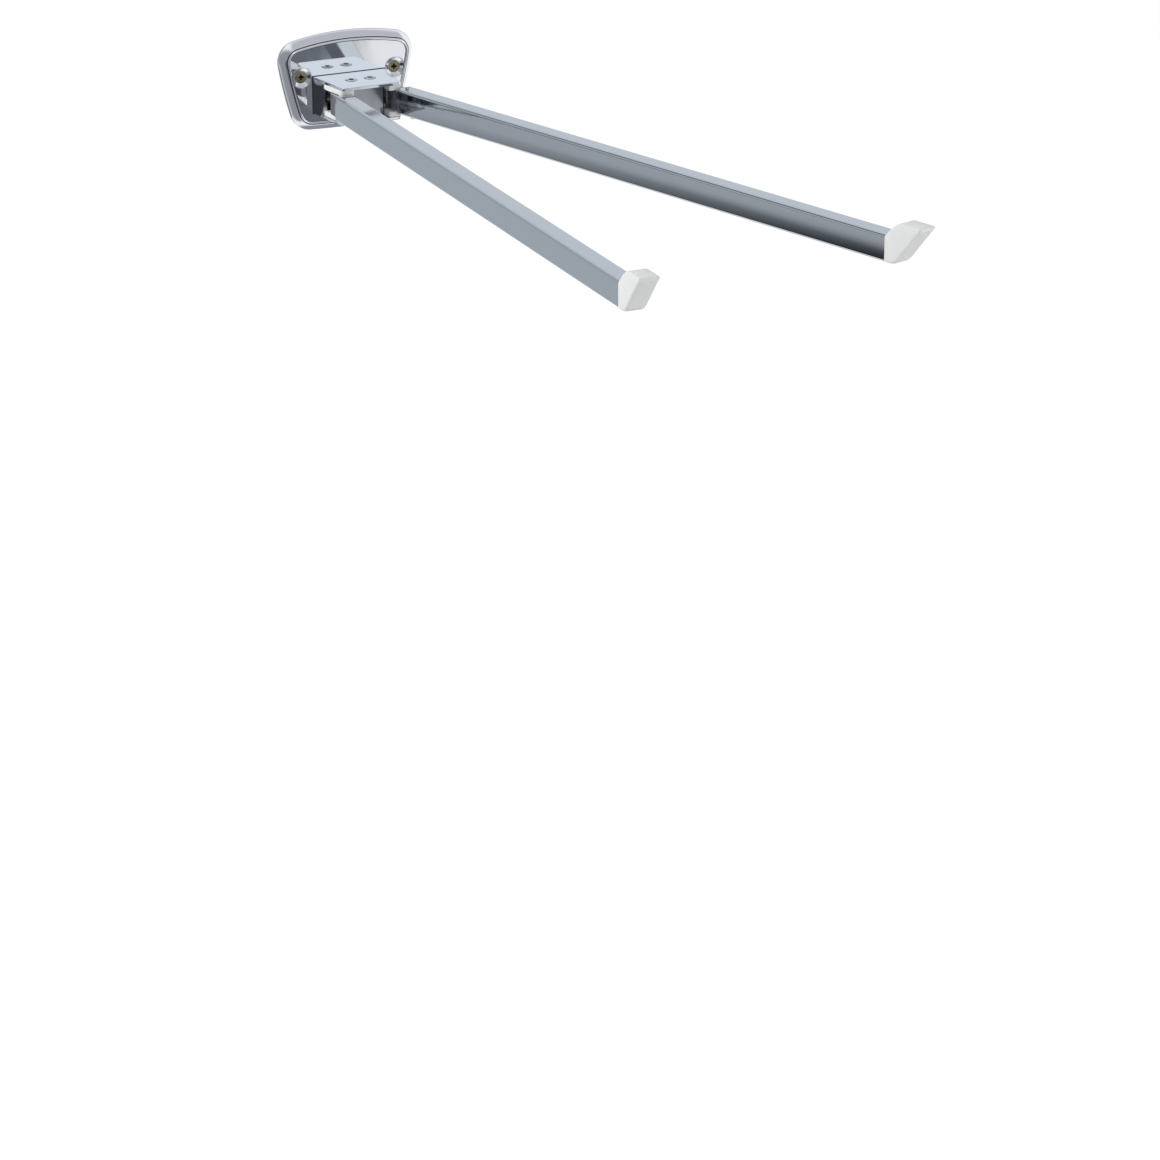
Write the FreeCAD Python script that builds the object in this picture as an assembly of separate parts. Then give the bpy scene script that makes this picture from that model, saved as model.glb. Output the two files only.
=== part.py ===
import FreeCAD, Part
import math
import os

# A wall-mounted towel holder with two arms that swing on upright pins.
# Millimetres. The wall is the plane Y = 0 and the arms reach out along -Y.
# +Z is up, +X is to the right for someone who faces the wall.
# Z = 0 is the mid height of the arms.

Vec = FreeCAD.Vector
X_AXIS = Vec(1, 0, 0)
Y_AXIS = Vec(0, 1, 0)
Z_AXIS = Vec(0, 0, 1)
OUT = Vec(0, -1, 0)
ORIGIN = Vec(0, 0, 0)
FULL_TURN = 360
QUARTER_TURN = 90
HEX_SIDES = 6
PARALLEL = 1 - 1e-6
HALF = 0.5

# Wall plate: outline, seen from the front
plate_top_half_width = 41.0
plate_top_corner_z = 27.4
plate_crown = 5.7
plate_bottom_half_width = 30.1
plate_bottom_corner_z = -19.7
plate_bottom_crown = 0.9
plate_side_bulge = 1.3
plate_top_corner_radius = 11.4
plate_bottom_corner_radius = 12.6

# Wall plate: section from the wall outwards
plate_face_depth = 5.0
plate_edge_height = 0.9
plate_bevel_inset = 3.7
plate_bevel_top = 4.5
plate_rim_gap = 0.4
plate_rim_width = 1.2
plate_rim_height = 0.6
plate_rim_bevel = 0.4
plate_shell = 2.0
plate_pad_half_width = 6.0
plate_pad_half_height = 8.4

# Wall screws and their dished seats
wall_screw_spacing = 55.0
wall_screw_z = 10.4
wall_screw_radius = 1.75
wall_screw_neck_radius = 1.95
wall_screw_length = 30.0
wall_screw_point = 3.0
wall_screw_head_radius = 3.45
wall_screw_hole_radius = 2.3
dish_radius = 5.4
dish_depth = 1.2
seat_boss_half = 6.2
cross_length = 3.2
cross_width = 1.1
cross_depth = 1.5

# Hinge bracket
bracket_sheet = 1.5
bracket_back_half_width = 21.3
bracket_front_half_width = 17.3
bracket_nose = 9.8
bracket_corner_radius = 2.4
bracket_edge_bevel = 0.35
bracket_web = 4.0
bracket_side_wall = 1.6
bracket_side_reach = 12.0
bracket_screw_spacing = 24.0
bracket_screw_radius = 2.0
bracket_screw_hole_radius = 2.2
bracket_screw_head_radius = 4.0
bracket_screw_head_height = 2.4

# Spacer block and its two rivets
block_half_width = 9.9
block_front_gap = 6.6
block_back_gap = 3.4
block_edge_bevel = 0.8
rivet_spacing = 11.0
rivet_shank_radius = 1.5
rivet_head_radius = 3.15
rivet_head_height = 0.6
rivet_dimple_radius = 1.1
rivet_dimple_depth = 0.9

# Arms
pivot_half_spacing = 15.96
pivot_reach = 26.8
left_arm_angle = -2.57
right_arm_angle = 15.2
arm_joint_reach = 381.0
arm_width = 11.0
arm_height = 14.0
arm_corner_radius = 1.7
arm_side_bulge = 0.25
arm_wall = 1.2
tube_gap = 0.4

# Hinge parts
pin_radius = 2.5
pin_blind_depth = 0.7
pin_foot = 0.6
running_clearance = 0.05
pad_thickness = 3.1
pad_play = 0.05
pad_inset = 0.5
pad_gap = 0.3
knuckle_width = 7.8
knuckle_plug_length = 22.0
plug_clearance = 0.08
tube_rivet_reach = 20.0
tube_rivet_radius = 1.6
tube_rivet_head_radius = 3.0
tube_rivet_head_height = 0.8
tube_rivet_grip = 4.5

# End caps
cap_ramp_length = 8.2
cap_ramp_rise = 8.1
cap_length = 22.6
cap_heel_length = 6.2
cap_heel_rise = 1.0
cap_shoulder_radius = 3.0
cap_heel_radius = 3.0
cap_tip_radius = 1.3
cap_side_round = 1.5
cap_crown_radius = 16.0
cap_stem_length = 18.0
cap_stem_wall = 1.5

# Clearances and overruns
seat_clearance = 0.05
overrun = 2.0


def export(name, *solids):
    """Write one node as a STEP file."""
    shape = solids[0] if len(solids) == 1 else Part.makeCompound(list(solids))
    shape.exportStep(os.path.join("parts", name + ".step"))
    print(name, len(shape.Solids), "solid(s)", round(shape.Volume, 1), shape.isValid())


def both(shape):
    """The shape and its mirror image across the plane X = 0."""
    return [shape, shape.mirror(ORIGIN, X_AXIS)]


def cylinder(radius, low, high, x=0.0, y=0.0):
    """An upright cylinder between two heights."""
    return Part.makeCylinder(radius, high - low, Vec(x, y, low))


def revolved(points):
    """A solid turned about Z from a closed outline of (radius, height) points."""
    wire = Part.makePolygon([Vec(r, 0, z) for r, z in points + points[:1]])
    return Part.Face(wire).revolve(ORIGIN, Z_AXIS, FULL_TURN)


def turned_about_z(point, degrees):
    """The point after a turn about the Z axis."""
    return FreeCAD.Rotation(Z_AXIS, degrees).multVec(point)


def outwards(shape):
    """Turn a shape modelled along +Z so that it points out of the wall."""
    turned = shape.copy()
    turned.rotate(ORIGIN, X_AXIS, QUARTER_TURN)
    return turned


def arc(start, middle, end):
    return Part.Arc(start, middle, end).toShape()


def vertical_edges(shape, keep=lambda edge: True):
    """Straight edges parallel to Z that pass the test."""
    found = []
    for edge in shape.Edges:
        if isinstance(edge.Curve, Part.Line) and abs(edge.Curve.Direction.z) > PARALLEL and keep(edge):
            found.append(edge)
    return found


def circle_through(a, b, c):
    """Centre and radius of the circle through three points."""
    circle = Part.Circle(a, b, c)
    return circle.Center, circle.Radius


def corner_centre(first, second, radius, corner):
    """Centre of a corner arc that touches two circles from the inside, near a corner."""
    (a, ra), (b, rb) = first, second
    ra, rb = ra - radius, rb - radius
    gap = (b - a).Length
    along = (ra * ra - rb * rb + gap * gap) / (2 * gap)
    across = math.sqrt(ra * ra - along * along)
    forward = (b - a).normalize()
    sideways = Z_AXIS.cross(forward)
    places = [a + forward * along + sideways * across, a + forward * along - sideways * across]
    return min(places, key=lambda place: (place - corner).Length)


def plate_outline(inset, height):
    """The plate's crowned outline, drawn in by an inset, at a height above the wall."""
    corners = [
        Vec(plate_top_half_width, plate_top_corner_z, 0),
        Vec(-plate_top_half_width, plate_top_corner_z, 0),
        Vec(-plate_bottom_half_width, plate_bottom_corner_z, 0),
        Vec(plate_bottom_half_width, plate_bottom_corner_z, 0),
    ]
    radii = [plate_top_corner_radius] * 2 + [plate_bottom_corner_radius] * 2
    side_x = (plate_top_half_width + plate_bottom_half_width) * HALF + plate_side_bulge
    side_z = (plate_top_corner_z + plate_bottom_corner_z) * HALF
    middles = [
        Vec(0, plate_top_corner_z + plate_crown, 0),
        Vec(-side_x, side_z, 0),
        Vec(0, plate_bottom_corner_z - plate_bottom_crown, 0),
        Vec(side_x, side_z, 0),
    ]
    count = len(corners)
    sides = [circle_through(corners[i], middles[i], corners[(i + 1) % count]) for i in range(count)]
    lift = Z_AXIS * height
    edges = []
    touches = []
    for i in range(count):
        centre = corner_centre(sides[i - 1], sides[i], radii[i], corners[i])
        ends = []
        for middle, radius in (sides[i - 1], sides[i]):
            ends.append(middle + (centre - middle).normalize() * (radius - inset))
        bow = centre + (corners[i] - centre).normalize() * (radii[i] - inset)
        edges.append(arc(ends[0] + lift, bow + lift, ends[1] + lift))
        touches.append(ends)
    for i in range(count):
        middle, radius = sides[i]
        start, end = touches[i][1], touches[(i + 1) % count][0]
        bow = middle + ((start + end) * HALF - middle).normalize() * (radius - inset)
        edges.append(arc(start + lift, bow + lift, end + lift))
    return Part.Wire(Part.__sortEdges__(edges))


def plate_layer(inset, low, high):
    """A flat layer of the plate between two depths."""
    return Part.Face(plate_outline(inset, low)).extrude(Z_AXIS * (high - low))


def plate_frustum(low_inset, low, high_inset, high):
    """A layer of the plate whose inset changes evenly between two depths."""
    return Part.makeLoft([plate_outline(low_inset, low), plate_outline(high_inset, high)], True, True)


def plate_rim():
    """The raised rim, bevelled on both sides, that frames the mirror face."""
    outer = plate_bevel_inset + plate_rim_gap
    inner = outer + plate_rim_width
    top = plate_face_depth + plate_rim_height
    shoulder = top - plate_rim_bevel
    low = plate_face_depth - plate_shell
    ring = plate_layer(outer, low, shoulder)
    ring = ring.fuse(plate_frustum(outer, shoulder, outer + plate_rim_bevel, top))
    ring = ring.cut(plate_layer(inner, 0, shoulder))
    return ring.cut(plate_frustum(inner, shoulder, inner - plate_rim_bevel, top))


def wall_screw_top():
    """Distance of the screw heads' flat tops from the wall."""
    return plate_face_depth - dish_depth


def screw_seat():
    """The shallow dish, countersink and hole of one wall screw, as the shape to cut away."""
    top = wall_screw_top()
    return revolved([
        (0, -overrun),
        (wall_screw_hole_radius, -overrun),
        (wall_screw_hole_radius, top - wall_screw_head_radius + wall_screw_hole_radius),
        (wall_screw_head_radius, top),
        (dish_radius, plate_face_depth),
        (dish_radius, plate_face_depth + overrun),
        (0, plate_face_depth + overrun),
    ])


def wall_plate():
    """Pressed cover: bevelled skirt, rim, mirror face, hollow back with seats."""
    inner = plate_bevel_inset + plate_rim_gap
    ceiling = plate_face_depth - plate_shell
    body = plate_layer(0, 0, plate_edge_height)
    body = body.fuse(plate_frustum(0, plate_edge_height, plate_bevel_inset, plate_bevel_top))
    body = body.fuse(plate_layer(inner, plate_edge_height, plate_face_depth))
    hollow = plate_frustum(plate_shell, 0, plate_bevel_inset + plate_shell, ceiling)
    body = body.cut(hollow).fuse(plate_rim())
    pad = Part.makeBox(2 * plate_pad_half_width, 2 * plate_pad_half_height, plate_face_depth,
                       Vec(-plate_pad_half_width, -plate_pad_half_height, 0))
    body = body.fuse(pad)
    x = wall_screw_spacing * HALF
    boss = Part.makeBox(2 * seat_boss_half, 2 * seat_boss_half, ceiling,
                        Vec(x - seat_boss_half, wall_screw_z - seat_boss_half, 0))
    for block in both(boss):
        body = body.fuse(block)
    seat = screw_seat()
    seat.translate(Vec(x, wall_screw_z, 0))
    hole = cylinder(bracket_screw_hole_radius, 0, plate_face_depth + overrun, bracket_screw_spacing * HALF)
    for cut in both(seat) + both(hole):
        body = body.cut(cut)
    return outwards(body.removeSplitter())


def wall_screw():
    """Countersunk cross-head screw, standing in its seat."""
    top = wall_screw_top()
    low = top - wall_screw_length
    screw = revolved([
        (0, low),
        (wall_screw_radius, low + wall_screw_point),
        (wall_screw_radius, 0),
        (wall_screw_neck_radius, 0),
        (wall_screw_neck_radius, top - wall_screw_head_radius + wall_screw_neck_radius),
        (wall_screw_head_radius - seat_clearance, top),
        (0, top),
    ])
    slot = Part.makeBox(cross_length, cross_width, cross_depth + overrun,
                        Vec(-cross_length * HALF, -cross_width * HALF, top - cross_depth))
    screw = screw.cut(slot)
    slot.rotate(ORIGIN, Z_AXIS, QUARTER_TURN)
    screw = screw.cut(slot)
    screw.translate(Vec(wall_screw_spacing * HALF, wall_screw_z, 0))
    return outwards(screw)


def bracket_front():
    """Distance of the bracket's front edge from the wall: the pins and the nose before them."""
    return pivot_reach + bracket_nose


def tube_start():
    """Reach from the pin at which the profile begins, just outside the bracket."""
    return bracket_nose + tube_gap


def bracket_half_width(depth):
    """Half the bracket's width at a distance from the wall."""
    share = (depth - plate_face_depth) / (bracket_front() - plate_face_depth)
    return bracket_back_half_width + (bracket_front_half_width - bracket_back_half_width) * share


def bracket_slice(near, far, low, high, inset=0.0):
    """A layer of the bracket's tapered plan between two distances and two heights."""
    a = bracket_half_width(near) - inset
    b = bracket_half_width(far) - inset
    corners = [Vec(-a, -near, low), Vec(a, -near, low), Vec(b, -far, low), Vec(-b, -far, low)]
    return Part.Face(Part.makePolygon(corners + corners[:1])).extrude(Z_AXIS * (high - low))


def knuckle_half_height():
    """Half the height of the bar that fits inside the profile and between the pads."""
    return arm_height * HALF - arm_wall - plug_clearance


def bracket_inner_half():
    """Half the space between the flanges: the knuckle, its play and the pads."""
    return knuckle_half_height() + pad_play + pad_thickness


def hinge_bracket():
    """Casting of two flanges, back web and short side walls that carries both pins."""
    inner = bracket_inner_half()
    half = inner + bracket_sheet
    web_front = plate_face_depth + bracket_web
    side_front = plate_face_depth + bracket_side_reach
    body = bracket_slice(plate_face_depth, bracket_front(), -half, half)
    front = [edge for edge in vertical_edges(body) if edge.CenterOfMass.y < -side_front]
    body = body.makeFillet(bracket_corner_radius, front)
    rims = []
    for edge in body.Edges:
        box = edge.BoundBox
        flat = box.ZLength < seat_clearance and abs(abs(box.ZMin) - half) < seat_clearance
        if flat and box.YMin < -plate_face_depth - seat_clearance:
            rims.append(edge)
    body = body.makeChamfer(bracket_edge_bevel, rims)
    body = body.cut(bracket_slice(web_front, bracket_front() + overrun, -inner, inner, bracket_side_wall))
    body = body.cut(bracket_slice(side_front, bracket_front() + overrun, -inner, inner, -overrun))
    pin_bore = cylinder(pin_radius, -half - overrun, inner + pin_blind_depth, pivot_half_spacing, -pivot_reach)
    rivet_bore = cylinder(rivet_shank_radius, -half - overrun, half + overrun, rivet_spacing * HALF, block_centre())
    tapped = cylinder(bracket_screw_radius, plate_face_depth - overrun, web_front + overrun,
                      bracket_screw_spacing * HALF)
    for bore in both(pin_bore) + both(rivet_bore) + both(outwards(tapped)):
        body = body.cut(bore)
    return body.removeSplitter()


def block_ends():
    """Distances of the spacer block's back and front from the wall."""
    return plate_face_depth + bracket_web + block_back_gap, bracket_front() - block_front_gap


def block_centre():
    """Y of the spacer block's middle, where its two rivets stand."""
    back, front = block_ends()
    return -(back + front) * HALF


def spacer_block():
    """Block between the flanges: it keeps them apart when its two rivets are closed."""
    inner = bracket_inner_half()
    back, front = block_ends()
    block = Part.makeBox(2 * block_half_width, front - back, 2 * inner, Vec(-block_half_width, -front, -inner))
    block = block.makeChamfer(block_edge_bevel, vertical_edges(block))
    for bore in both(cylinder(rivet_shank_radius, -inner - overrun, inner + overrun,
                              rivet_spacing * HALF, block_centre())):
        block = block.cut(bore)
    return block


def block_rivet():
    """Rivet through flange, block and flange: a plain head below, a dimpled one on top."""
    half = bracket_inner_half() + bracket_sheet
    top = half + rivet_head_height
    rivet = revolved([
        (0, -top),
        (rivet_head_radius, -top),
        (rivet_head_radius, -half),
        (rivet_shank_radius, -half),
        (rivet_shank_radius, half),
        (rivet_head_radius, half),
        (rivet_head_radius, top),
        (rivet_dimple_radius, top),
        (rivet_dimple_radius, top - rivet_dimple_depth),
        (0, top - rivet_dimple_depth),
    ])
    rivet.translate(Vec(rivet_spacing * HALF, block_centre(), 0))
    return rivet


def bracket_screw():
    """Hexagon-head screw from inside the plate into the bracket's web."""
    seat = plate_face_depth - plate_shell
    corners = [Vec(bracket_screw_head_radius, 0, 0)]
    for turn in range(HEX_SIDES):
        corners.append(turned_about_z(corners[-1], FULL_TURN / HEX_SIDES))
    head = Part.Face(Part.makePolygon(corners)).extrude(Z_AXIS * bracket_screw_head_height)
    head.translate(Z_AXIS * (seat - bracket_screw_head_height))
    screw = head.fuse(cylinder(bracket_screw_radius, seat, plate_face_depth + bracket_web)).removeSplitter()
    screw.translate(X_AXIS * bracket_screw_spacing * HALF)
    return outwards(screw)


def arm_section(shrink):
    """The arm's section in the plane X-Z: flat top and bottom, slightly bowed sides."""
    half_width = arm_width * HALF - arm_side_bulge - shrink
    half_height = arm_height * HALF - shrink
    bow = half_width + arm_side_bulge
    top_left, top_right = Vec(-half_width, 0, half_height), Vec(half_width, 0, half_height)
    low_left, low_right = Vec(-half_width, 0, -half_height), Vec(half_width, 0, -half_height)
    return Part.Wire([
        Part.makeLine(top_left, top_right),
        arc(top_right, Vec(bow, 0, 0), low_right),
        Part.makeLine(low_right, low_left),
        arc(low_left, Vec(-bow, 0, 0), top_left),
    ])


def arm_prism(start, end):
    """A length of the arm's outer form between two reaches from the pivot."""
    prism = arm_core(start, end, 0)
    along = [edge for edge in prism.Edges if isinstance(edge.Curve, Part.Line)
             and abs(edge.Curve.Direction.y) > PARALLEL]
    return prism.makeFillet(arm_corner_radius, along)


def arm_core(start, end, shrink):
    """The same length with square corners, drawn in by a wall or a clearance."""
    core = Part.Face(arm_section(shrink)).extrude(OUT * (end - start))
    core.translate(OUT * start)
    return core


def arm_tube():
    """Hollow profile, from just outside the bracket to the end cap."""
    tube = arm_prism(tube_start(), arm_joint_reach)
    tube = tube.cut(arm_core(tube_start() - overrun, arm_joint_reach + overrun, arm_wall))
    return tube.cut(tube_rivet_bore())


def tube_rivet_bore():
    """The hole under the arm for the rivet that holds the knuckle."""
    low = -arm_height * HALF
    return cylinder(tube_rivet_radius, low - overrun, low + arm_wall + tube_rivet_grip, 0, -tube_rivet_reach)


def tube_rivet():
    """Rivet under the arm, through the profile's wall into the knuckle's plug."""
    low = -arm_height * HALF
    rivet = revolved([
        (0, low - tube_rivet_head_height),
        (tube_rivet_head_radius, low - tube_rivet_head_height),
        (tube_rivet_head_radius, low),
        (tube_rivet_radius, low),
        (tube_rivet_radius, low + arm_wall + tube_rivet_grip),
        (0, low + arm_wall + tube_rivet_grip),
    ])
    rivet.translate(OUT * tube_rivet_reach)
    return rivet


def knuckle():
    """Hinge end of an arm: a bar with a round nose at the pin, and a plug in the profile."""
    half = knuckle_half_height()
    nose_radius = knuckle_width * HALF
    nose = cylinder(nose_radius, -half, half)
    nose = nose.fuse(Part.makeBox(knuckle_width, tube_start(), 2 * half, Vec(-nose_radius, -tube_start(), -half)))
    plug = arm_core(tube_start(), tube_start() + knuckle_plug_length, arm_wall + plug_clearance)
    body = nose.fuse(plug)
    body = body.cut(cylinder(pin_radius + running_clearance, -half - overrun, half + overrun))
    return body.cut(tube_rivet_bore()).removeSplitter()


def bearing_pad():
    """Plastic pad under the top flange, round the right pin: the knuckle turns below it."""
    low = knuckle_half_height() + pad_play
    high = bracket_inner_half()
    near = plate_face_depth + bracket_side_reach + pad_gap
    pad = bracket_slice(near, bracket_front() - pad_inset, low, high, pad_inset)
    pad = pad.makeFillet(bracket_corner_radius - pad_inset, [
        edge for edge in vertical_edges(pad) if edge.CenterOfMass.y < -pivot_reach])
    middle = Part.makeBox(2 * (block_half_width + pad_gap), bracket_front(), 2 * bracket_inner_half(),
                          Vec(-block_half_width - pad_gap, -bracket_front(), -bracket_inner_half()))
    bore = cylinder(pin_radius + running_clearance, low, high, pivot_half_spacing, -pivot_reach)
    right = [half for half in pad.cut(middle).Solids if half.CenterOfMass.x > 0]
    return right[0].cut(bore)


def pivot_pin():
    """Plain pin pressed in from below, its upper end blind in the top flange."""
    inner = bracket_inner_half()
    low = -inner - bracket_sheet - pin_foot
    return cylinder(pin_radius, low, inner + pin_blind_depth, pivot_half_spacing, -pivot_reach)


def cap_side():
    """Side view of the end cap, as a wire in the plane Y-Z at the joint with the arm."""
    half = arm_height * HALF
    top = half + cap_ramp_rise
    corners = [
        (0, -half, 0.0),
        (0, half, 0.0),
        (cap_ramp_length, top, cap_shoulder_radius),
        (cap_length, top, cap_tip_radius),
        (cap_heel_length, -half + cap_heel_rise, cap_heel_radius),
        (cap_heel_length * HALF, -half, cap_heel_radius),
    ]
    return rounded_outline(corners)


def rounded_outline(corners):
    """A wire through (reach, height, radius) corners, each rounded by its radius."""
    count = len(corners)
    places = [Vec(0, -reach, height) for reach, height, radius in corners]
    starts, ends, middles = [], [], []
    for i, (reach, height, radius) in enumerate(corners):
        here = places[i]
        back = (places[i - 1] - here).normalize()
        ahead = (places[(i + 1) % count] - here).normalize()
        half_angle = math.acos(max(-1, min(1, back.dot(ahead)))) * HALF
        run = radius / math.tan(half_angle)
        centre = here + (back + ahead).normalize() * (radius / math.sin(half_angle))
        starts.append(here + back * run)
        ends.append(here + ahead * run)
        middles.append(centre + (here - centre).normalize() * radius if radius else here)
    edges = []
    for i in range(count):
        if corners[i][2]:
            edges.append(arc(starts[i], middles[i], ends[i]))
        edges.append(Part.makeLine(ends[i], starts[(i + 1) % count]))
    return Part.Wire(edges)


def end_cap():
    """Plastic cap: ramp, flat beak, undercut end, and a hollow stem inside the arm."""
    half_width = arm_width * HALF
    half = arm_height * HALF
    top = half + cap_ramp_rise
    body = Part.Face(cap_side()).extrude(X_AXIS * arm_width)
    body.translate(X_AXIS * -half_width)
    plan = Part.makeBox(arm_width, cap_length, half + top, Vec(-half_width, -cap_length, -half))
    tip = [edge for edge in vertical_edges(plan) if edge.CenterOfMass.y < -cap_length * HALF]
    plan = plan.makeFillet(cap_side_round, tip)
    keel = [edge for edge in plan.Edges if edge.BoundBox.ZMax < -half + seat_clearance
            and edge.BoundBox.YLength > cap_length * HALF]
    plan = plan.makeFillet(arm_corner_radius, keel)
    crown = Part.makeCylinder(cap_crown_radius, cap_length + 2 * overrun,
                              Vec(0, -cap_length - overrun, top - cap_crown_radius), Y_AXIS)
    body = body.common(plan).common(crown)
    fit = arm_wall + plug_clearance
    stem = arm_core(-cap_stem_length, 0, fit)
    stem = stem.cut(arm_core(-cap_stem_length - overrun, -cap_stem_wall, fit + cap_stem_wall))
    body = body.fuse(stem).removeSplitter()
    body.translate(OUT * arm_joint_reach)
    return body


def place_arm_piece(shape, side):
    """Swing an arm piece, modelled at the origin, to its pivot and rest angle."""
    placed = shape.copy()
    angle = left_arm_angle if side < 0 else right_arm_angle
    placed.rotate(ORIGIN, Z_AXIS, angle)
    placed.translate(Vec(side * pivot_half_spacing, -pivot_reach, 0))
    return placed


def build():
    os.makedirs("parts", exist_ok=True)
    export("wall_plate", wall_plate())
    export("wall_screws", *both(wall_screw()))
    export("hinge_bracket", hinge_bracket())
    export("bracket_screws", *both(bracket_screw()))
    export("spacer_block", spacer_block())
    export("block_rivets", *both(block_rivet()))
    arm_pieces = {
        "hinge_knuckle": knuckle(),
        "arm_tube": arm_tube(),
        "tube_rivet": tube_rivet(),
        "end_cap": end_cap(),
    }
    bracket_pieces = {
        "pivot_pin": pivot_pin(),
        "upper_bearing_pad": bearing_pad(),
        "lower_bearing_pad": bearing_pad().mirror(ORIGIN, Z_AXIS),
    }
    for side, word in ((-1, "left"), (1, "right")):
        for name, shape in bracket_pieces.items():
            export(word + "_" + name, shape if side > 0 else shape.mirror(ORIGIN, X_AXIS))
        for name, shape in arm_pieces.items():
            export(word + "_" + name, place_arm_piece(shape, side))


build()
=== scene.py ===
# %% [markdown]
# # A towel holder with two swinging arms
# A chromed plate is screwed to the wall. A hinge bracket stands out of it and holds two
# bright hollow arms that swing sideways, each closed by a pale plastic cap. The metal
# pieces come from the CAD frame, because their size and fit matter. This file dresses
# them: it gives every piece the finish of its real material and adds the soft shapes
# that a smooth surface shows better than a machined solid.

# %% Load the frame
import math

import bmesh
import bpy
import numpy as np
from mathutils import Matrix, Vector


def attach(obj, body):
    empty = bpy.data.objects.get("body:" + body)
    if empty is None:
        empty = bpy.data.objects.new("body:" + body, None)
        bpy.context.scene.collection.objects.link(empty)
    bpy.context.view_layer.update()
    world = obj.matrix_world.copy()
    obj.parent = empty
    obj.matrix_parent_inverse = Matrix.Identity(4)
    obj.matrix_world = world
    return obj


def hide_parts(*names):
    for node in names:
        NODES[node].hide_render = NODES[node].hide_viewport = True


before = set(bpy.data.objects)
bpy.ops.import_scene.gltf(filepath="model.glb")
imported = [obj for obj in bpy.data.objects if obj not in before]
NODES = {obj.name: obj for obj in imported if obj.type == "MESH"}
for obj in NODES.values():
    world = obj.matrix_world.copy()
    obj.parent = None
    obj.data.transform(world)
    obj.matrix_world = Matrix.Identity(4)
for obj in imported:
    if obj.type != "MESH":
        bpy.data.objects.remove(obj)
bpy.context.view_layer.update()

print("CAD nodes:", len(NODES))

# %% [markdown]
# ## Units and small helpers
# The real sizes of this product are easiest to read in millimetres, while Blender works
# in metres. Colours are written as the hex values of a paint chart, which are sRGB, and
# one function turns them into the linear light that the shaders work in. One more
# function adds a node, so that each material below reads as a list of what it is.

# %% Units, colours and nodes
MM = 0.001


def paint(hex_code):
    """sRGB hex to linear RGBA: below 0.04045 divide by 12.92, above it a power of 2.4."""
    channels = np.array([int(hex_code[i:i + 2], 16) for i in (1, 3, 5)]) / 255
    curve = ((channels + 0.055) / 1.055) ** 2.4
    return (*np.where(channels <= 0.04045, channels / 12.92, curve).tolist(), 1.0)


def feed(tree, node, links):
    """Link each of these inputs of a node to the socket that feeds it."""
    for name, source in links.items():
        tree.links.new(source, node.inputs[name])


def add_node(tree, kind, values=None, links=None, **settings):
    """Add a node: settings are its attributes, values its inputs, links what feeds it."""
    node = tree.nodes.new(kind)
    for name, value in settings.items():
        setattr(node, name, value)
    for name, value in (values or {}).items():
        node.inputs[name].default_value = value
    feed(tree, node, links or {})
    return node


def start_material(name, values):
    """A new material whose one shader has these input values."""
    material = bpy.data.materials.new(name)
    material.use_nodes = True
    tree = material.node_tree
    tree.nodes.clear()
    shader = add_node(tree, "ShaderNodeBsdfPrincipled", values)
    add_node(tree, "ShaderNodeOutputMaterial", links={"Surface": shader.outputs["BSDF"]})
    return material, tree, shader


print("white paint in linear light:", paint("#FFFFFF"))

# %% [markdown]
# ## Chrome plate
# The plate and the bracket are zinc castings, polished and then plated with nickel and
# chrome. Chrome is a blue-white mirror. What makes it look real is that it is never
# perfect: polishing leaves a slow waviness a few millimetres long, and hands leave a
# faint haze. Both could be painted on a picture, but noise needs none and has no seams.
# It is placed in the object's own space, so that it stays on the metal in every view. The
# sides that face the wall are never polished, so the plate's hollow back is a dull grey:
# the surface's own direction towards the wall says which sides those are.

# %% Chrome
COLOUR_A, COLOUR_B, COLOUR_OUT = 6, 7, 2  # a Mix node's sockets for colours
NUMBER_A, NUMBER_B, NUMBER_OUT = 2, 3, 0  # and its sockets for numbers
HAZE_PATCH = 14.0
HAZE_RANGE = {"From Min": 0.35, "From Max": 0.7}
POLISH_WAVE = 6.0
POLISH_BUMP = {"Strength": 0.12, "Distance": 0.02 * MM}
BACK_RANGE = {"From Min": 0.05, "From Max": 0.15}  # polish turns dull towards the wall
BACK_GREY = "#8C8F94"
BACK_ROUGHNESS = 0.42


def chrome_plated_zinc(name, colour, clear, hazy):
    """Mirror chrome: roughness runs from clear to hazy in patches, the polish is wavy."""
    material, tree, shader = start_material(name, {"Metallic": 1.0})
    coordinates = add_node(tree, "ShaderNodeTexCoord")
    place = coordinates.outputs["Object"]
    patches = add_node(tree, "ShaderNodeTexNoise", {"Scale": 1 / (HAZE_PATCH * MM), "Detail": 4.0},
                       {"Vector": place})
    haze = add_node(tree, "ShaderNodeMapRange", {**HAZE_RANGE, "To Min": clear, "To Max": hazy},
                    {"Value": patches.outputs["Fac"]})
    facing = add_node(tree, "ShaderNodeSeparateXYZ", links={0: coordinates.outputs["Normal"]})
    to_wall = add_node(tree, "ShaderNodeMapRange", BACK_RANGE, {"Value": facing.outputs["Y"]})
    share = to_wall.outputs["Result"]
    gloss = add_node(tree, "ShaderNodeMix", {NUMBER_B: BACK_ROUGHNESS},
                     {0: share, NUMBER_A: haze.outputs["Result"]}, data_type="FLOAT")
    tint = add_node(tree, "ShaderNodeMix", {COLOUR_A: paint(colour), COLOUR_B: paint(BACK_GREY)},
                    {0: share}, data_type="RGBA")
    wave = add_node(tree, "ShaderNodeTexNoise", {"Scale": 1 / (POLISH_WAVE * MM), "Detail": 1.0},
                    {"Vector": place})
    bump = add_node(tree, "ShaderNodeBump", POLISH_BUMP, {"Height": wave.outputs["Fac"]})
    feed(tree, shader, {"Base Color": tint.outputs[COLOUR_OUT],
                        "Roughness": gloss.outputs[NUMBER_OUT],
                        "Normal": bump.outputs["Normal"]})
    return material


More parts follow.
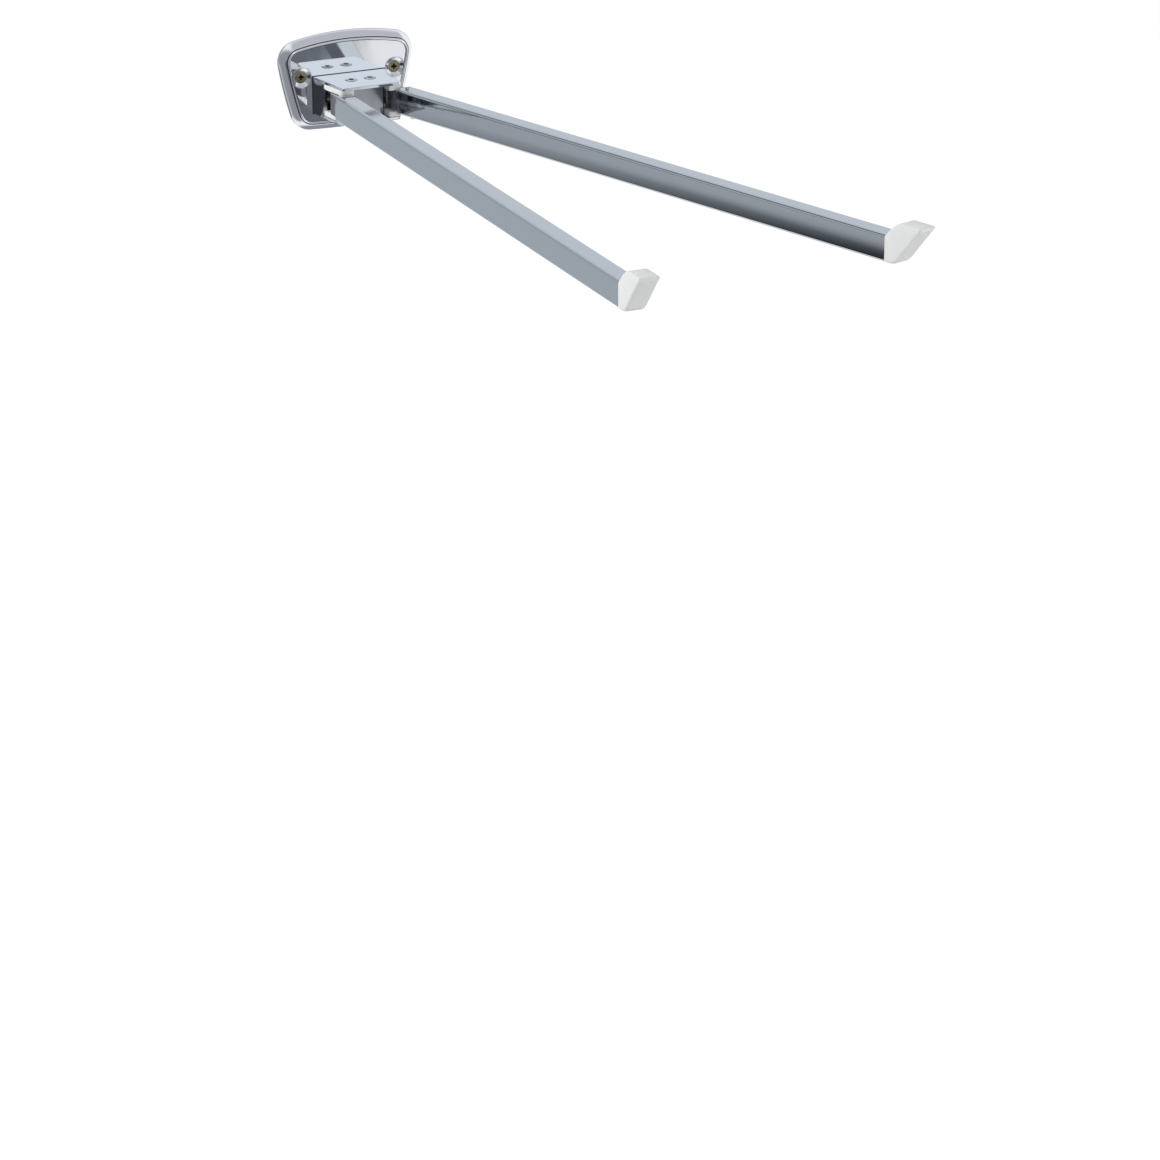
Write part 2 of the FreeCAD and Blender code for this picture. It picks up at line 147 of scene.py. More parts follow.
plate_chrome = chrome_plated_zinc("chrome_plated_zinc_plate", "#E9EBEF", 0.02, 0.05)
bracket_chrome = chrome_plated_zinc("chrome_plated_zinc_bracket", "#E3E7EC", 0.03, 0.08)
# Painted shade: a dark, rough chrome for the grooves, the bracket seam and the rivets' edges,
# which lie in shade.
shade_dark_chrome = chrome_plated_zinc("painted_shade_chrome", "#5A5D63", 0.30, 0.45)
print("chrome:", plate_chrome.name, bracket_chrome.name, shade_dark_chrome.name)

# %% [markdown]
# ## Bright anodised aluminium
# The arms are extruded profile. The die draws faint lines along the metal, which chemical
# brightening and anodising nearly hide: the arm mirrors its surroundings softly, a little
# bluer and darker than chrome. The lines follow each arm, so the noise that draws them is
# turned by the arm's own angle and stretched along it.

# %% Anodised arms
ARM_ANGLES = {"left": math.radians(-2.57), "right": math.radians(15.2)}
PIVOTS = {"left": Vector((-15.96 * MM, -26.8 * MM, 0)),
          "right": Vector((15.96 * MM, -26.8 * MM, 0))}
ARM_COLOUR = "#C4C8CC"
EVEN_RANGE = {"From Min": 0.3, "From Max": 0.7}  # nearly all of a noise lies in it
ARM_ROUGHNESS = {"To Min": 0.045, "To Max": 0.085}
DIE_LINE = 0.35
DIE_LINE_RUN = 120.0
DIE_LINE_BUMP = {"Strength": 0.15, "Distance": 0.01 * MM}


def anodised_profile(side):
    """Extruded aluminium: noise 0.35 mm across and 120 mm along the arm gives its lines."""
    material, tree, shader = start_material("bright_anodised_aluminium_" + side, {
        "Base Color": paint(ARM_COLOUR), "Metallic": 1.0})
    place = add_node(tree, "ShaderNodeTexCoord").outputs["Object"]
    drawn = add_node(tree, "ShaderNodeMapping", {
        "Location": PIVOTS[side],
        "Rotation": (0, 0, ARM_ANGLES[side]),
        "Scale": (DIE_LINE * MM, DIE_LINE_RUN * MM, DIE_LINE * MM),
    }, {"Vector": place}, vector_type="TEXTURE")
    lines = add_node(tree, "ShaderNodeTexNoise", {"Scale": 1.0, "Detail": 3.0},
                     {"Vector": drawn.outputs["Vector"]}).outputs["Fac"]
    gloss = add_node(tree, "ShaderNodeMapRange", {**EVEN_RANGE, **ARM_ROUGHNESS},
                     {"Value": lines})
    bump = add_node(tree, "ShaderNodeBump", DIE_LINE_BUMP, {"Height": lines})
    feed(tree, shader, {"Roughness": gloss.outputs["Result"], "Normal": bump.outputs["Normal"]})
    return material


arm_aluminium = {side: anodised_profile(side) for side in ARM_ANGLES}
print("arm finishes:", sorted(arm_aluminium))

# %% [markdown]
# ## Moulded caps and bearing pads
# The caps are ABS, moulded in a tool with a fine satin texture. ABS scatters light just
# under its skin, so its edges look soft. The texture is about 0.15 mm, too fine to show
# from here, and is drawn at 0.5 mm. The pads are acetal, a waxy white bearing plastic.

# %% Plastics
MOULD_GRAIN = 0.5
GRAIN_STRENGTH = 0.2
GLOSS_SPREAD = 0.05
SKIN = {"IOR": 1.53, "Subsurface Weight": 0.08, "Subsurface Scale": 1.5 * MM,
        "Subsurface Radius": (1.0, 0.95, 0.9)}


def moulded_plastic(name, colour, roughness, grain_depth):
    """Satin plastic: fine noise lifts the surface, wide noise shifts the gloss a little."""
    material, tree, shader = start_material(name, {"Base Color": paint(colour), **SKIN})
    place = add_node(tree, "ShaderNodeTexCoord").outputs["Object"]
    grain = add_node(tree, "ShaderNodeTexNoise", {"Scale": 1 / (MOULD_GRAIN * MM), "Detail": 2.0},
                     {"Vector": place})
    bump = add_node(tree, "ShaderNodeBump",
                    {"Strength": GRAIN_STRENGTH, "Distance": grain_depth * MM},
                    {"Height": grain.outputs["Fac"]})
    sheen = add_node(tree, "ShaderNodeTexNoise", {"Scale": 1 / (HAZE_PATCH * MM), "Detail": 3.0},
                     {"Vector": place})
    gloss = add_node(tree, "ShaderNodeMapRange", {
        **EVEN_RANGE, "To Min": roughness - GLOSS_SPREAD, "To Max": roughness + GLOSS_SPREAD,
    }, {"Value": sheen.outputs["Fac"]})
    feed(tree, shader, {"Roughness": gloss.outputs["Result"], "Normal": bump.outputs["Normal"]})
    return material


cap_plastic = moulded_plastic("satin_moulded_abs", "#F1F1EF", 0.42, 0.02)
pad_plastic = moulded_plastic("natural_acetal", "#F0F0EC", 0.35, 0.01)
print("plastics:", cap_plastic.name, pad_plastic.name)

# %% [markdown]
# ## Fasteners and small castings
# The wall screws are zinc plated and passivated yellow, which gives steel a thin film
# whose colour wanders between straw and olive. The cross of the head is painted dark
# brown as shade. The rivets are nickel plated, and their dimples are painted dark as
# shade. The knuckles are bare zinc castings, tumbled to a satin grey, and the spacer block,
# whose front shows between the arms, is polished. One function makes them all, because
# they differ only in colour, gloss and the size of their patches.

# %% Small metals
TINT_STOPS = (0.35, 0.68)  # the noise levels of the first and the second tint
FILM_BUMP = {"Strength": 0.15, "Distance": 0.02 * MM}
RECESS_MOUTH = (-3.7, -3.2)  # where the painted brown shade sets in and is full, from the front
RECESS_END = (-1.6, -2.2)  # and from the cross's end
RECESS_SHADE_BROWN = "#332D20"


def shaded_recess(tree, place, colour):
    """Painted shade: the colour turns brown between two depths, where only the screw's cross is.
    """
    depth = add_node(tree, "ShaderNodeSeparateXYZ", links={0: place}).outputs["Y"]
    inside = [add_node(tree, "ShaderNodeMapRange", {"From Min": edge * MM, "From Max": full * MM},
                       {"Value": depth}) for edge, full in (RECESS_MOUTH, RECESS_END)]
    both = add_node(tree, "ShaderNodeMath", operation="MULTIPLY", links={
        i: node.outputs["Result"] for i, node in enumerate(inside)})
    brown = add_node(tree, "ShaderNodeMix", {COLOUR_B: paint(RECESS_SHADE_BROWN)},
                     {0: both.outputs[0], COLOUR_A: colour}, data_type="RGBA")
    return brown.outputs[COLOUR_OUT]


def tinted_metal(name, tints, roughness, patch, paint_recess_shade=False):
    """Metal whose tint wanders between two colours in patches of a given size."""
    material, tree, shader = start_material(name, {"Metallic": 1.0, "Roughness": roughness})
    place = add_node(tree, "ShaderNodeTexCoord").outputs["Object"]
    film = add_node(tree, "ShaderNodeTexNoise", {"Scale": 1 / (patch * MM), "Detail": 3.0},
                    {"Vector": place}).outputs["Fac"]
    ramp = add_node(tree, "ShaderNodeValToRGB", links={"Fac": film})
    for stop, position, tint in zip(ramp.color_ramp.elements, TINT_STOPS, tints):
        stop.position = position
        stop.color = paint(tint)
    colour = ramp.outputs["Color"]
    if paint_recess_shade:
        colour = shaded_recess(tree, place, colour)
    bump = add_node(tree, "ShaderNodeBump", FILM_BUMP, {"Height": film})
    feed(tree, shader, {"Base Color": colour, "Normal": bump.outputs["Normal"]})
    return material


# Painted shade: the screws' crosses turn dark brown inside their recess.
screw_steel = tinted_metal("yellow_passivated_steel", ("#C2BC9A", "#918C6B"), 0.34, 1.6,
                           paint_recess_shade=True)
rivet_nickel = tinted_metal("nickel_plated_steel", ("#C9CCD0", "#AEB1B5"), 0.10, 4.0)
cast_zinc = tinted_metal("tumbled_zinc_casting", ("#C4C7CA", "#A9ACB0"), 0.28, 2.5)
block_zinc = tinted_metal("polished_zinc_casting", ("#BEBEC4", "#AFB0B6"), 0.16, 8.0)
# Painted shade: near-black steel that lines the rivets' dimples, which lie in shade.
dimple_shade_steel = tinted_metal("painted_shade_dimple", ("#303136", "#242529"), 0.5, 2.0)
pin_steel = tinted_metal("ground_steel", ("#B9BBBD", "#A2A4A6"), 0.22, 3.0)
SMALL_METALS = (screw_steel, rivet_nickel, cast_zinc, block_zinc, dimple_shade_steel, pin_steel)
print("small metals:", [metal.name for metal in SMALL_METALS])

# %% [markdown]
# ## Dress the CAD pieces
# A carried-over CAD piece keeps its shape. Only its material slots are filled. The table
# says which finish each kind of piece has, by the end of its name.

# %% Finishes of the CAD pieces
FINISHES = {
    "wall_plate": plate_chrome,
    "hinge_bracket": bracket_chrome,
    "spacer_block": block_zinc,
    "wall_screws": screw_steel,
    "bracket_screws": pin_steel,
    "block_rivets": rivet_nickel,
    "pivot_pin": pin_steel,
    "hinge_knuckle": cast_zinc,
    "bearing_pad": pad_plastic,
    "left_arm_tube": arm_aluminium["left"],
    "right_arm_tube": arm_aluminium["right"],
    "tube_rivet": rivet_nickel,
    "end_cap": cap_plastic,
}
for name, node in NODES.items():
    finish = next(material for ending, material in FINISHES.items() if name.endswith(ending))
    node.data.materials.clear()
    node.data.materials.append(finish)
print("dressed:", len(NODES))

# %% [markdown]
# ## Surfaces from grids
# Each new piece is a grid of points: rows run along the piece and columns run round it.
# Neighbouring points make the faces, and a lid closes each end, unless the rows meet in a
# ring. Points that fall together, as at the tip of a turned shape, are merged before the
# faces are turned outwards. Boxes with modifiers could make such pieces too, but a grid
# keeps each shape a formula with its real sizes in it.

# %% Grid helpers
MERGE_DISTANCE = 0.002
SHARP_ANGLE = math.radians(38)


def grid_faces(rows, columns, first, ring):
    """Four neighbours make a face; columns wrap round, and so do the rows of a ring."""
    index = first + np.arange(rows * columns).reshape(rows, columns)
    here = index if ring else index[:-1]
    there = np.roll(index, -1, axis=0) if ring else index[1:]
    corners = [here, np.roll(here, -1, axis=1), np.roll(there, -1, axis=1), there]
    lids = [] if ring else [index[0].tolist(), index[-1].tolist()]
    return np.stack(corners, axis=-1).reshape(-1, 4).tolist() + lids


def clean_up(mesh):
    """Merge points that fall together, drop empty faces and turn the rest outwards."""
    work = bmesh.new()
    work.from_mesh(mesh)
    bmesh.ops.remove_doubles(work, verts=work.verts, dist=MERGE_DISTANCE * MM)
    bmesh.ops.dissolve_degenerate(work, edges=work.edges, dist=MERGE_DISTANCE * MM)
    bmesh.ops.recalc_face_normals(work, faces=work.faces)
    work.to_mesh(mesh)
    work.free()


def grid_piece(name, grids, material, body, replaced=(), ring=False):
    """One mesh from arrays of shape rows x columns x 3, in millimetres."""
    faces, first = [], 0
    for grid in grids:
        rows, columns = grid.shape[:2]
        faces += grid_faces(rows, columns, first, ring)
        first += rows * columns
    points = np.concatenate([grid.reshape(-1, 3) for grid in grids]) * MM
    mesh = bpy.data.meshes.new(name)
    mesh.from_pydata(points.tolist(), [], faces)
    clean_up(mesh)
    mesh.shade_smooth()
    mesh.set_sharp_from_angle(angle=SHARP_ANGLE)
    mesh.materials.append(material)
    piece = bpy.data.objects.new(name, mesh)
    bpy.context.scene.collection.objects.link(piece)
    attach(piece, body)
    if replaced:
        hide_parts(*replaced)
    size = [round(v / MM, 1) for v in piece.dimensions]
    print(name, "faces:", len(mesh.polygons), "size mm:", size)


# %% [markdown]
# ## Rounded outlines
# Machined and moulded parts are drawn as straight sides whose corners are arcs. One
# function rounds the corners of any closed outline, each by its own radius. A bevel
# modifier would round them too, but it gives one radius to all and needs a mesh first.

# %% Outline helpers
def unit(vector):
    """The vector, or each row of vectors, divided by its length."""
    return vector / np.linalg.norm(vector, axis=-1, keepdims=True)


def spin(x, y, angle):
    """Turn x and y by an angle: x cos - y sin, and x sin + y cos."""
    return x * np.cos(angle) - y * np.sin(angle), x * np.sin(angle) + y * np.cos(angle)


def rounded_corners(points, radii, steps=8):
    """Each corner becomes an arc that touches both its sides. Its centre lies on the
    corner's bisector, at radius / sin(half the corner's angle)."""
    points, radii = np.asarray(points, float), np.asarray(radii, float)[:, None]
    back = unit(np.roll(points, 1, axis=0) - points)
    ahead = unit(np.roll(points, -1, axis=0) - points)
    half = np.arccos(np.clip((back * ahead).sum(1, keepdims=True), -1, 1)) / 2
    centre = points + unit(back + ahead) * radii / np.sin(half)
    start = points + back * radii / np.tan(half) - centre
    end = points + ahead * radii / np.tan(half) - centre
    turn = np.sign(start[:, :1] * end[:, 1:] - start[:, 1:] * end[:, :1])[:, None]
    sweep = (math.pi - 2 * half)[:, None] * turn
    angle = np.linspace(0, 1, steps)[None, :, None] * sweep
    arcs = np.concatenate(spin(start[:, None, :1], start[:, None, 1:], angle), axis=-1)
    return (arcs + centre[:, None]).reshape(-1, 2)


square = rounded_corners([(1, 1), (-1, 1), (-1, -1), (1, -1)], [0.5] * 4)
print("a rounded square has", len(square), "points and reaches", square.max().round(3))

# %% [markdown]
# ## End caps
# A cap is a solid moulding: a ramp climbs off the arm's top, a shoulder turns it into a
# flat beak, and the end slopes back underneath, so that nothing laid over the arm slides
# off. Sliced across, it is a rounded rectangle at every reach, so the surface is a stack
# of such slices whose top and bottom follow the side view. The upper edges are crisp, the
# lower ones round off like a keel, and the beak's top is slightly crowned.

# %% Side view of a cap
ARM_HALF_WIDTH = 5.5
ARM_HALF_HEIGHT = 7.0
ARM_CORNER = 1.7
CAP_SIDE_VIEW = [(0, -7.0), (0, 7.0), (8.0, 15.1), (23.5, 15.1), (23.1, 12.7),
                 (8.4, -4.8), (5.8, -6.75), (2.6, -7.15)]
CAP_SIDE_ROUND = [0.02, 0.02, 6.5, 0.9, 0.3, 6.0, 7.0, 9.0]
CAP_PLAN_ROUND = 0.9
SIDE_VIEW_STEPS = 12
NOSE_SLICES = 14
NOSE_FINEST = 0.002  # the last slice's distance from the tip, as a share of its rounding
LONG_SLICES = 40


def cap_side_view():
    """The reach of each slice, and the height of the side view's top and bottom there."""
    outline = rounded_corners(CAP_SIDE_VIEW, CAP_SIDE_ROUND, SIDE_VIEW_STEPS)
    tip = int(np.argmax(outline[:, 0]))
    start = int(np.argmin(np.abs(outline[:, 0]) + np.abs(outline[:, 1] - ARM_HALF_HEIGHT)))
    upper = outline[start:tip + 1]
    lower = np.concatenate([outline[tip:], outline[:1]])[::-1]
    end = outline[tip, 0]
    nose = end - CAP_PLAN_ROUND * np.geomspace(1, NOSE_FINEST, NOSE_SLICES)
    reach = np.concatenate([upper[:, 0], lower[:, 0], nose, np.linspace(0, end, LONG_SLICES)])
    reach = np.unique(np.round(reach, 3))
    reach = reach[(reach >= 0) & (reach <= end)]
    order = np.argsort(lower[:, 0], kind="stable")
    top = np.interp(reach, np.maximum.accumulate(upper[:, 0]), upper[:, 1])
    bottom = np.interp(reach, lower[order, 0], lower[order, 1])
    return reach, top, bottom


print("slices in a cap:", len(cap_side_view()[0]))

# %% Cap surface
CAP_JOINT = 381.0
CAP_CROWN = 16.0
CROWN_RUN = 7  # the crown grows over this length of the ramp
CAP_TOP_EDGE = 0.8
CAP_KEEL = 1.9
EDGE_RUN = 4  # the arm's corners turn into the cap's edges over this length
EDGE_STEPS = 9
THINNEST = 0.02
EDGE_LIMIT = 0.98  # an edge takes up at most this share of half the height


def edge_radius(radius, reach, half_height):
    """The corner of the arm at reach 0, and the cap's own edge radius from EDGE_RUN on."""
    grown = np.interp(reach, [0, EDGE_RUN], [ARM_CORNER, radius])
    return np.minimum(grown, half_height * EDGE_LIMIT)


def cap_slices():
    """Slices at each reach of the side view: width, top and bottom give a rounded box."""
    reach, top, bottom = cap_side_view()
    past = np.clip(reach - (reach[-1] - CAP_PLAN_ROUND), 0, CAP_PLAN_ROUND)
    width = ARM_HALF_WIDTH - CAP_PLAN_ROUND + np.sqrt(CAP_PLAN_ROUND ** 2 - past ** 2)
    height = np.maximum(top - bottom, THINNEST) / 2
    rim = edge_radius(CAP_TOP_EDGE, reach, height)
    keel = edge_radius(CAP_KEEL, reach, height)
    turn = np.linspace(0, math.pi / 2, EDGE_STEPS)
    quarter = np.concatenate([turn + i * math.pi / 2 for i in range(4)])
    side = np.repeat([1, -1, -1, 1], EDGE_STEPS)
    level = np.repeat([1, 1, -1, -1], EDGE_STEPS)
    corner = np.where(level > 0, rim[:, None], keel[:, None])
    x = side * (width[:, None] - corner) + corner * np.cos(quarter)
    z = level * (height[:, None] - corner) + corner * np.sin(quarter)
    crowned = np.clip(reach / CROWN_RUN, 0, 1)[:, None] * np.clip(z / height[:, None], 0, 1)
    drop = CAP_CROWN - np.sqrt(CAP_CROWN ** 2 - x ** 2)
    z = z + ((top + bottom) / 2)[:, None] - crowned * drop
    return np.stack([x, np.broadcast_to(-reach[:, None], x.shape), z], axis=-1)


def swung(grid, side):
    """Turn points of an arm, modelled along -Y from its pivot, to the arm's rest angle."""
    x, y = spin(grid[..., 0], grid[..., 1], ARM_ANGLES[side])
    return np.stack([x, y, grid[..., 2]], axis=-1) + np.array(PIVOTS[side]) / MM


for side in ARM_ANGLES:
    slices = cap_slices() + np.array([0, -CAP_JOINT, 0])
    grid_piece(side + "_cap_moulding", [swung(slices, side)], cap_plastic, side + "_arm",
               (side + "_end_cap",))

# %% [markdown]
# ## Bearing pads
# Four white pads line the bracket, above and below each knuckle. A moulded pad has soft
# edges, and its outer side stands a little proud of the metal, so that the pin is closed
# in. The pad is a stack of outlines: from one height to the next the outline draws in by
# a quarter circle, which rounds the edges of both faces.

# %% Pads
PAD_PLAN = [(10.2, -36.3), (17.5, -36.3), (19.9, -17.3), (10.2, -17.3)]
PAD_PLAN_ROUND = [0.8, 2.2, 0.8, 0.8]
PAD_LOW = 5.77
PAD_HIGH = 8.87
PAD_EDGE = 0.7
PAD_EDGE_STEPS = 7


def pad(side, level):
    """The plan's outline, drawn in along its normals by a rounded edge, at each height."""
    outline = rounded_corners(PAD_PLAN, PAD_PLAN_ROUND)
    tangent = np.roll(outline, -1, axis=0) - np.roll(outline, 1, axis=0)
    normal = unit(np.stack([tangent[:, 1], -tangent[:, 0]], axis=-1))
    turn = np.linspace(0, math.pi / 2, PAD_EDGE_STEPS)
    inset = PAD_EDGE * np.concatenate([1 - np.sin(turn), 1 - np.cos(turn)])
    low_part = PAD_LOW + PAD_EDGE * (1 - np.cos(turn))
    height = np.concatenate([low_part, (PAD_LOW + PAD_HIGH - low_part)[::-1]])
    place = outline[None] - normal[None] * inset[:, None, None]
    z = np.broadcast_to(height[:, None], place.shape[:2])
    return np.stack([place[..., 0] * side, place[..., 1], z * level], axis=-1)


pads = [pad(side, level) for side in (-1, 1) for level in (-1, 1)]
pad_nodes = [f"{side}_{level}_bearing_pad"
             for side in ("left", "right") for level in ("upper", "lower")]
grid_piece("moulded_bearing_pads", pads, pad_plastic, "wall_unit", pad_nodes)

# %% [markdown]
# ## Frame of the plate
# A wide convex bevel and a round bead frame the plate's mirror face. On chrome a round
# form draws a white line with a dark one beside it, which a flat bevel can't. The grooves
# on both sides of the bead, and the corner where the bracket meets the plate, are painted
# shade: a dark, rough chrome. Each of these is a closed section, given as inset from an
# outline and depth from the wall, and carried along the outline.
# The plate's outline is eight arcs: four long crowned sides and four corners. A point of
# the section is found by moving an outline point inwards along its normal.

# %% Outline of the plate
PLATE_CORNERS = np.array([(41.0, 27.4), (-41.0, 27.4), (-30.1, -19.7), (30.1, -19.7)])
PLATE_MIDDLES = np.array([(0, 33.1), (-36.85, 3.85), (0, -20.6), (36.85, 3.85)])
PLATE_CORNER_RADII = [11.4, 11.4, 12.6, 12.6]
CORNER_POINTS = 20
SIDE_POINTS = 44


def circle_through(a, b, c):
    """Centre and radius of a circle through three points, from its two chord bisectors."""
    system = 2 * np.array([b - a, c - a])
    centre = np.linalg.solve(system, [b @ b - a @ a, c @ c - a @ a])
    return centre, float(np.linalg.norm(a - centre))


def corner_centre(before, after, radius, near):
    """A corner's arc touches two sides from inside, so its centre is where their circles,
    each made smaller by the corner's radius, cross near the corner."""
    (a, a_radius), (b, b_radius) = before, after
    gap = np.linalg.norm(b - a)
    forward = (b - a) / gap
    ahead = ((a_radius - radius) ** 2 - (b_radius - radius) ** 2 + gap ** 2) / (2 * gap)
    across = math.sqrt((a_radius - radius) ** 2 - ahead ** 2)
    aside = across * np.array([-forward[1], forward[0]])
    crossings = (a + forward * ahead + aside, a + forward * ahead - aside)
    return min(crossings, key=lambda place: np.linalg.norm(place - near))


def arc_between(centre, radius, start, end, steps):
    """Points and outward normals on the short arc from start to end."""
    first = math.atan2(*(start - centre)[::-1])
    sweep = (math.atan2(*(end - centre)[::-1]) - first + math.pi) % (2 * math.pi) - math.pi
    angle = first + sweep * np.linspace(0, 1, steps, endpoint=False)
    normal = np.stack([np.cos(angle), np.sin(angle)], -1)
    return centre + radius * normal, normal


def plate_outline():
    """The plate's outline at the wall as points and outward normals, eight arcs in turn."""
    ends = np.roll(PLATE_CORNERS, -1, axis=0)
    sides = [circle_through(*three) for three in zip(PLATE_CORNERS, PLATE_MIDDLES, ends)]
    centres = [corner_centre(sides[i - 1], sides[i], radius, PLATE_CORNERS[i])
               for i, radius in enumerate(PLATE_CORNER_RADII)]
    arcs = []
    for i, radius in enumerate(PLATE_CORNER_RADII):
        start, touch = (c + unit(centres[i] - c) * r for c, r in (sides[i - 1], sides[i]))
        middle, reach = sides[i]
        far = middle + unit(centres[(i + 1) % 4] - middle) * reach
        arcs += [arc_between(centres[i], radius, start, touch, CORNER_POINTS),
                 arc_between(middle, reach, touch, far, SIDE_POINTS)]
    points, normals = zip(*arcs)
    return np.concatenate(points), np.concatenate(normals)


plate_edge = plate_outline()
plate_size = np.ptp(plate_edge[0], axis=0).round(2)
print("plate outline:", len(plate_edge[0]), "points, size mm:", plate_size)

# %% Bevel, bead, grooves and seam
BEVEL_SECTION = [
    (0.3, 0.01), (-0.03, 0.01), (-0.03, 0.6), (0.12, 0.95), (0.45, 1.5), (1.0, 2.35), (1.7, 3.25),
    (2.4, 4.0), (3.0, 4.5), (3.3, 4.7), (3.46, 4.76), (3.58, 4.7), (3.64, 4.58), (3.64, 4.3),
    (3.0, 2.6), (0.3, 0.5),
]
GROOVE_SECTION = [(3.6, 4.3), (3.6, 4.56), (4.14, 4.56), (4.14, 4.3)]
BEAD_SECTION = [
    (4.08, 4.3), (4.1, 4.7), (4.14, 5.1), (4.24, 5.42), (4.44, 5.7), (4.72, 5.82), (5.0, 5.72),
    (5.22, 5.46), (5.34, 5.2), (5.4, 5.0), (5.4, 4.4),
]
GROOVE_AT_FACE = [(5.3, 4.9), (5.3, 5.03), (5.62, 5.03), (5.62, 4.9)]
BRACKET_BACK = [(21.3, 10.37), (-21.3, 10.37), (-21.3, -10.37), (21.3, -10.37)]
BRACKET_SEAM = [(0.1, 4.9), (-0.32, 4.9), (-0.32, 5.1), (0.1, 5.2)]


def carried(outline, section):
    """Each outline point, moved in by the section's insets and out by its depths."""
    points, normals = outline
    inset, depth = np.array(section).T
    place = points[:, None] - normals[:, None] * inset[None, :, None]
    out = np.broadcast_to(-depth, place.shape[:2])
    return np.stack([place[..., 0], out, place[..., 1]], axis=-1)


bracket_edge = (np.array(BRACKET_BACK), np.sign(BRACKET_BACK))
# Painted shade: the grooves and the seam at the bracket are dark chrome strips standing in for
# shade.
for name, outline, sections, finish in (
    ("plate_bevel", plate_edge, [BEVEL_SECTION], plate_chrome),
    ("plate_bead", plate_edge, [BEAD_SECTION], plate_chrome),
    ("plate_grooves", plate_edge, [GROOVE_SECTION, GROOVE_AT_FACE], shade_dark_chrome),
    ("bracket_shadow_seam", bracket_edge, [BRACKET_SEAM], shade_dark_chrome),
):
    grid_piece(name, [carried(outline, section) for section in sections], finish, "wall_unit",
               ring=True)

# %% [markdown]
# ## Rivets of the spacer block
# Each rivet's head is rolled over to a low dome and keeps the dimple of the riveting
# tool. It is turned round its own axis from a profile, so it is a grid of radius and
# height against angle. The dimple, and the corner between head and flange, lie in shade,
# so each gets a thin dark skin of painted shade.

# %% Rivets
FLANGE_TOP = 10.37
RIVET_HALF_SPACING = 5.5
RIVET_REACH = 21.2
RIVET_PLACES = [(side * RIVET_HALF_SPACING, -RIVET_REACH, 0) for side in (-1, 1)]
TURN_STEPS = 64
RIVET_HEAD = np.array([
    (0, -0.62), (0.8, -0.55), (1.2, -0.2), (1.42, 0.3), (1.58, 0.48), (1.85, 0.54), (2.3, 0.5),
    (2.7, 0.38), (3.0, 0.2), (3.15, 0.0), (1.7, 0.0),
])
DIMPLE_LINING = np.array([
    (0, -0.57), (0.77, -0.5), (1.15, -0.17), (1.4, 0.38), (1.48, 0.34), (1.25, -0.3),
    (0.85, -0.65), (0, -0.72),
])
HEAD_CORNER = np.array([(3.02, -0.05), (3.02, 0.06), (3.32, 0.04), (3.36, -0.05)])


def turned(profile, centre, axis_out=False):
    """Turn (radius, height) points round an upright axis, or round one out of the wall."""
    profile = np.asarray(profile, float)
    angle = np.linspace(0, 2 * math.pi, TURN_STEPS, endpoint=False)
    x = profile[:, :1] * np.cos(angle)
    y = profile[:, :1] * np.sin(angle)
    z = np.broadcast_to(profile[:, 1:2], x.shape)
    grid = np.stack([x, -z, y] if axis_out else [x, y, z], axis=-1)
    return grid + np.asarray(centre, float)


def on_flange(profile, level):
    """A profile set on the top flange at level 1, or mirrored under the lower at -1."""
    return profile * [1, level] + [0, level * FLANGE_TOP]


rivet_profile = np.concatenate([on_flange(RIVET_HEAD, -1), on_flange(RIVET_HEAD, 1)[::-1]])
rivets = [turned(rivet_profile, place) for place in RIVET_PLACES]
grid_piece("spacer_block_rivets", rivets, rivet_nickel, "wall_unit",
           ("block_rivets",))
dimples, edges = ([turned(on_flange(profile, level), place)
                   for place in RIVET_PLACES for level in (-1, 1)]
                  for profile in (DIMPLE_LINING, HEAD_CORNER))
# Painted shade: dark skins in the dimples and round the rivets' heads.
grid_piece("rivet_dimples", dimples, dimple_shade_steel, "wall_unit")
grid_piece("rivet_edge_shade", edges, shade_dark_chrome, "wall_unit", ring=True)

# %% [markdown]
# ## Screw dishes
# Each wall screw sits in a shallow dish with a rolled lip. The lip and the hollow of the
# dish are turned round the screw from a closed section, so that they catch the thin rings
# of light that make a pressed dish readable.

# %% Dishes
SCREW_X = 27.5
SCREW_Z = 10.4
DISH_SECTION = [
    (5.95, 4.7), (5.95, 5.0), (5.8, 5.07), (5.55, 5.08), (5.35, 5.02), (5.15, 4.86), (4.9, 4.6),
    (4.6, 4.33), (4.25, 4.12), (3.9, 3.99), (3.6, 3.93), (3.5, 3.88), (3.5, 3.6), (4.4, 3.8),
]

dishes = [turned(DISH_SECTION, (x, 0, SCREW_Z), axis_out=True) for x in (-SCREW_X, SCREW_X)]
grid_piece("screw_dishes", dishes, plate_chrome, "wall_unit", ring=True)

# %% [markdown]
# ## Threads of the wall screws
# Behind the plate each wall screw carries a coarse thread. Its surface is a function of
# the distance along the shank and the angle round it: the radius rises to a crest once
# per pitch, and the crest moves round as it moves along, which makes the helix.

# %% Screw threads
THREAD_PITCH = 1.8
THREAD_ROOT = 1.78
THREAD_CREST = 2.08
THREAD_START = 2.0
THREAD_END = 26.3
CREST_HALF_WIDTH = 0.22  # as a share of the pitch
POINT_LENGTH = 3.4
POINT_PAST_END = 0.3
POINT_THINNEST = 0.02
ROWS_PER_PITCH = 14
THREAD_COLUMNS = 40


